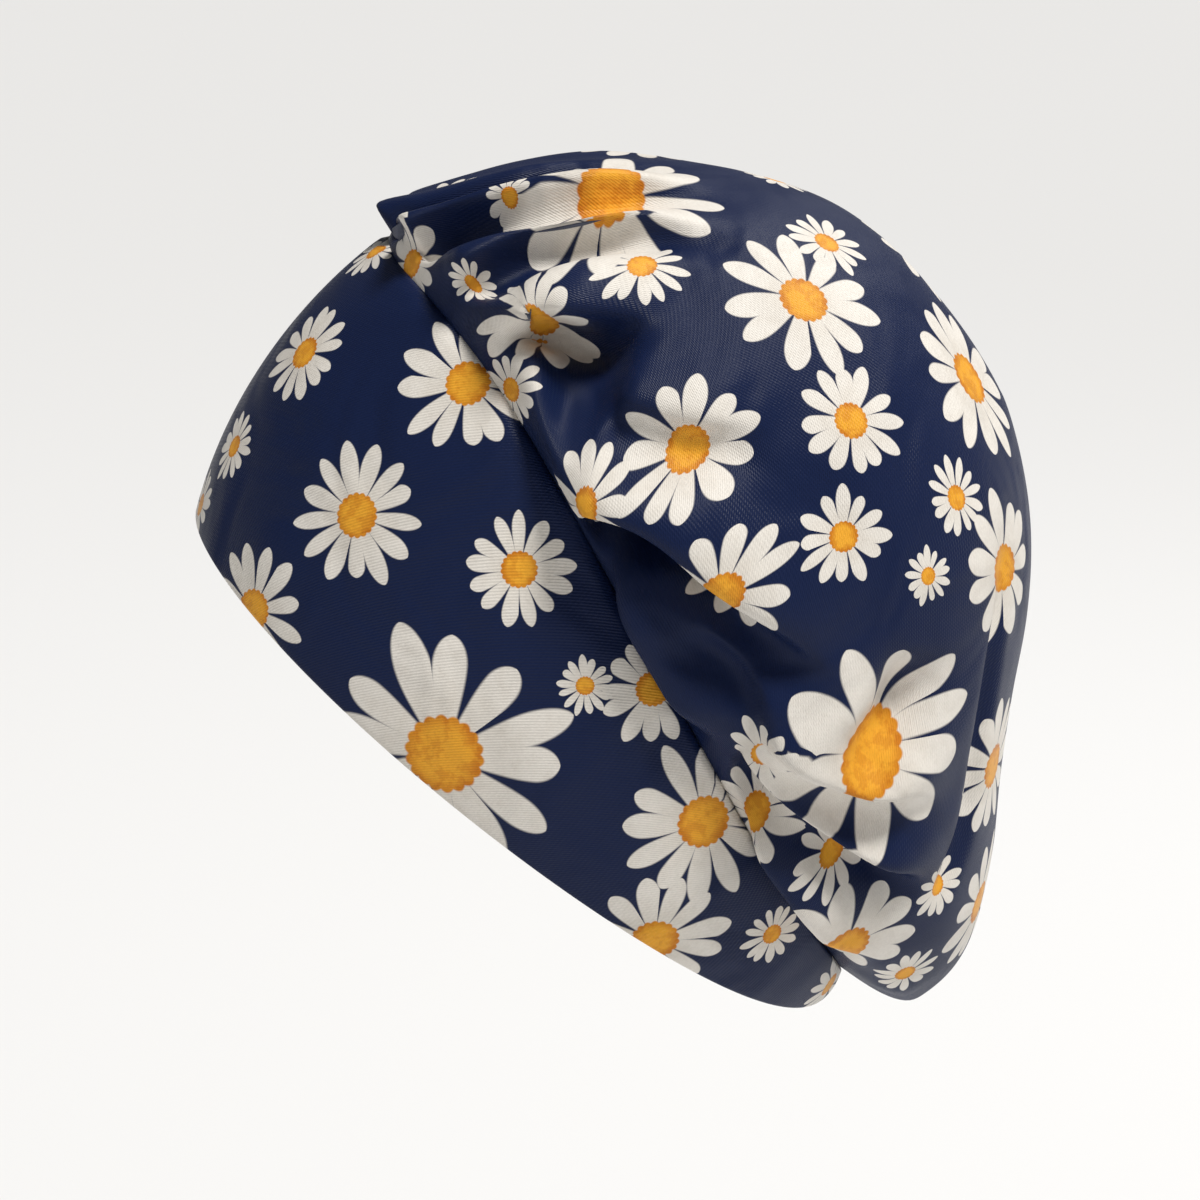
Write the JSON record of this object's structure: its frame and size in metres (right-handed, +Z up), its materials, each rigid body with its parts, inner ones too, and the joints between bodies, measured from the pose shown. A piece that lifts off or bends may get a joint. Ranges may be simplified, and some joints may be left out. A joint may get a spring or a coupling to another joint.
{
  "type": "scrub cap",
  "caption": "Scrub cap: a wide fitted headband and a full gathered crown that slouches at the back, in daisy-print stretch knit.",
  "frame": {"origin": "middle of the head opening, where the cap sits on the head", "axes": "+Z up with the wearer upright, the forehead faces -Y, the wearer's left is +X"},
  "size_m": [0.1776, 0.2212, 0.2335],
  "materials": {
    "band_knit": "satin-faced stretch knit, navy printed with white and yellow daisies",
    "crown_knit": "satin-faced stretch knit, navy printed with white and yellow daisies"
  },
  "bodies": {
    "root": {"headband": "band_knit", "crown": "crown_knit"}
  },
  "joints": []
}
